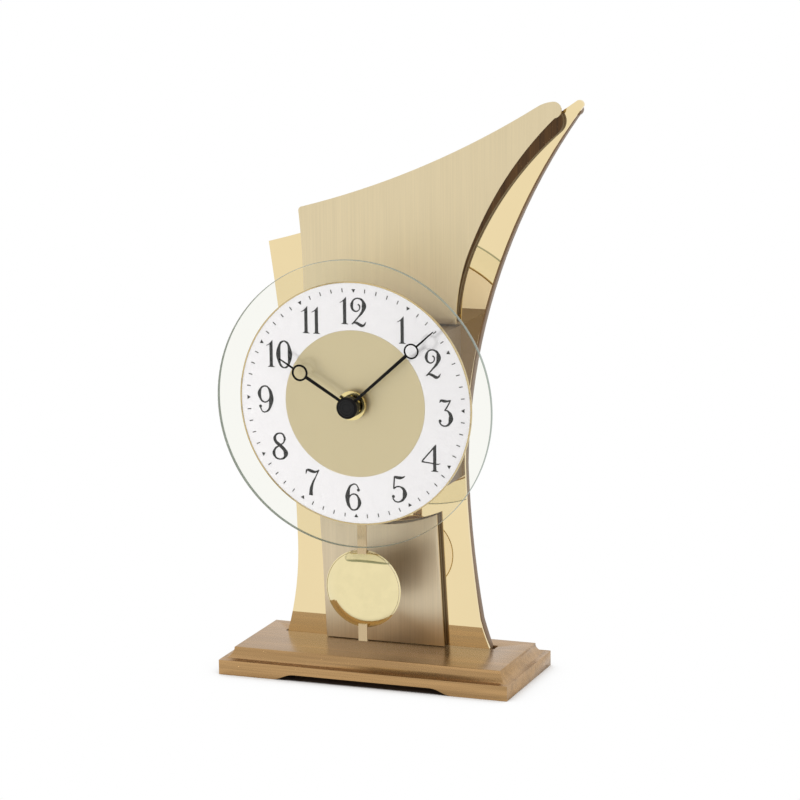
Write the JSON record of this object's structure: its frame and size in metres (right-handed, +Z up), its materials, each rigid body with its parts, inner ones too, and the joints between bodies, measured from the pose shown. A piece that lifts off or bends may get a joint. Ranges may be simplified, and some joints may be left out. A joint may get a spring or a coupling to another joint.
{
  "type": "desk pendulum clock",
  "caption": "Free-standing table clock with a round glass dial, swept gold panels, a plinth and a swinging pendulum.",
  "frame": {"origin": "centre of the plinth's underside", "axes": "+Z up, the dial faces -Y, +X to the right as seen from the front"},
  "size_m": [0.198, 0.0926, 0.3227],
  "materials": {
    "base_gold": "gold-brown metallic lacquer over fine wood grain, satin",
    "felt": "dark felt",
    "screw_steel": "plated steel",
    "panel_edge": "painted fibreboard, satin taupe",
    "gold_mirror": "pale gold mirror",
    "dark_board": "dark brown stained board, satin",
    "brushed_gold": "pale gold, brushed top to bottom",
    "housing": "satin brown",
    "dial_white": "satin white print with black figures",
    "dial_gold": "pale gold, fine brushed",
    "rim_gold": "polished",
    "clear_glass": "clear mineral glass, polished edge",
    "polished_brass": "polished",
    "seal_rubber": "black rubber",
    "case_plastic": "moulded black, fine texture",
    "board_green": "green solder mask",
    "copper_wire": "enamelled copper",
    "iron_sheet": "stamped sheet",
    "contact_metal": "nickel plated",
    "turned_brass": "turned",
    "hand_black": "gloss black lacquer",
    "gear_plastic": "natural white",
    "knob_plastic": "moulded white",
    "magnet_metal": "plated magnet",
    "battery_can": "printed foil",
    "rod_gold": "satin gold strip",
    "polished_gold": "polished pale gold",
    "weight_iron": "raw",
    "bob_back_plate": "black"
  },
  "bodies": {
    "stand": {"base_plinth": "base_gold", "base_felt": "felt", "base_screws": "screw_steel", "back_board": "panel_edge", "back_mirror": "gold_mirror", "panel_screws": "screw_steel", "upper_board": "dark_board", "upper_sheet": "brushed_gold", "lower_board": "dark_board", "lower_sheet": "brushed_gold", "movement_housing": "housing", "dial_plate": "dial_white", "dial_centre": "dial_gold", "dial_rim": "rim_gold", "glass_disc": "clear_glass", "glass_washer": "polished_brass", "centre_nut": "polished_brass", "movement_seal": "seal_rubber", "centre_bush": "polished_brass", "movement_case": "case_plastic", "case_cover": "case_plastic", "case_screws": "screw_steel", "train_bridge": "case_plastic", "bridge_screws": "screw_steel", "circuit_board": "board_green", "motor_coil": "copper_wire", "motor_stator": "iron_sheet", "pendulum_coil": "copper_wire", "pivot_pin": "screw_steel", "contact_positive": "contact_metal", "contact_negative": "contact_metal"},
    "minute_group": {"minute_arbor": "turned_brass", "minute_hand": "hand_black", "hand_cap": "hand_black"},
    "hour_group": {"hour_wheel": "gear_plastic", "hour_hand": "hand_black"},
    "minute_wheel_body": {"minute_wheel": "gear_plastic"},
    "setting_group": {"setting_arbor": "gear_plastic", "setting_knob": "knob_plastic"},
    "centre_wheel_body": {"centre_wheel": "gear_plastic"},
    "third_wheel_body": {"third_wheel": "gear_plastic"},
    "second_wheel_body": {"second_wheel": "gear_plastic"},
    "rotor_group": {"rotor_pinion": "gear_plastic", "rotor_magnet": "magnet_metal"},
    "battery_body": {"battery": "battery_can"},
    "pendulum": {"pendulum_hanger": "case_plastic", "hanger_magnet": "magnet_metal", "pendulum_rod": "rod_gold", "bob_shell": "polished_gold", "bob_weight": "weight_iron", "bob_back": "bob_back_plate"}
  },
  "joints": [
    {"name": "minute_spin", "type": "hinge", "parent": "stand", "child": "minute_group", "pos_m": [0, -0.033, 0.1603], "axis": [0, 1, 0], "continuous": true},
    {"name": "hour_spin", "type": "hinge", "parent": "stand", "child": "hour_group", "pos_m": [0, -0.033, 0.1603], "axis": [0, 1, 0], "continuous": true},
    {"name": "minute_wheel_spin", "type": "hinge", "parent": "stand", "child": "minute_wheel_body", "pos_m": [0.0108, -0.033, 0.1603], "axis": [0, 1, 0], "continuous": true},
    {"name": "setting_spin", "type": "hinge", "parent": "stand", "child": "setting_group", "pos_m": [0.02015, -0.0175, 0.1549], "axis": [0, 1, 0], "continuous": true},
    {"name": "second_wheel_spin", "type": "hinge", "parent": "stand", "child": "second_wheel_body", "pos_m": [-0.01617, -0.027, 0.15478], "axis": [0, 1, 0], "continuous": true},
    {"name": "third_wheel_spin", "type": "hinge", "parent": "stand", "child": "third_wheel_body", "pos_m": [-0.0096, -0.029, 0.1603], "axis": [0, 1, 0], "continuous": true},
    {"name": "centre_wheel_spin", "type": "hinge", "parent": "stand", "child": "centre_wheel_body", "pos_m": [0, -0.033, 0.1603], "axis": [0, 1, 0], "continuous": true},
    {"name": "rotor_spin", "type": "hinge", "parent": "stand", "child": "rotor_group", "pos_m": [-0.01866, -0.029, 0.14796], "axis": [0, 1, 0], "continuous": true},
    {"name": "battery_slide", "type": "slide", "parent": "stand", "child": "battery_body", "axis": [0, 1, 0], "range_m": [0, 0.055]},
    {"name": "pendulum_swing", "type": "hinge", "parent": "stand", "child": "pendulum", "pos_m": [0, -0.032, 0.143], "axis": [0, 1, 0], "range_deg": [-5, 5]}
  ],
  "couplings": [
    {"joint": "hour_spin", "follows": "minute_spin", "ratio": 0.083333},
    {"joint": "minute_wheel_spin", "follows": "minute_spin", "ratio": -0.33333},
    {"joint": "setting_spin", "follows": "minute_spin", "ratio": 1},
    {"joint": "third_wheel_spin", "follows": "second_wheel_spin", "ratio": -0.083333},
    {"joint": "centre_wheel_spin", "follows": "second_wheel_spin", "ratio": 0.0055556},
    {"joint": "rotor_spin", "follows": "second_wheel_spin", "ratio": -10}
  ]
}
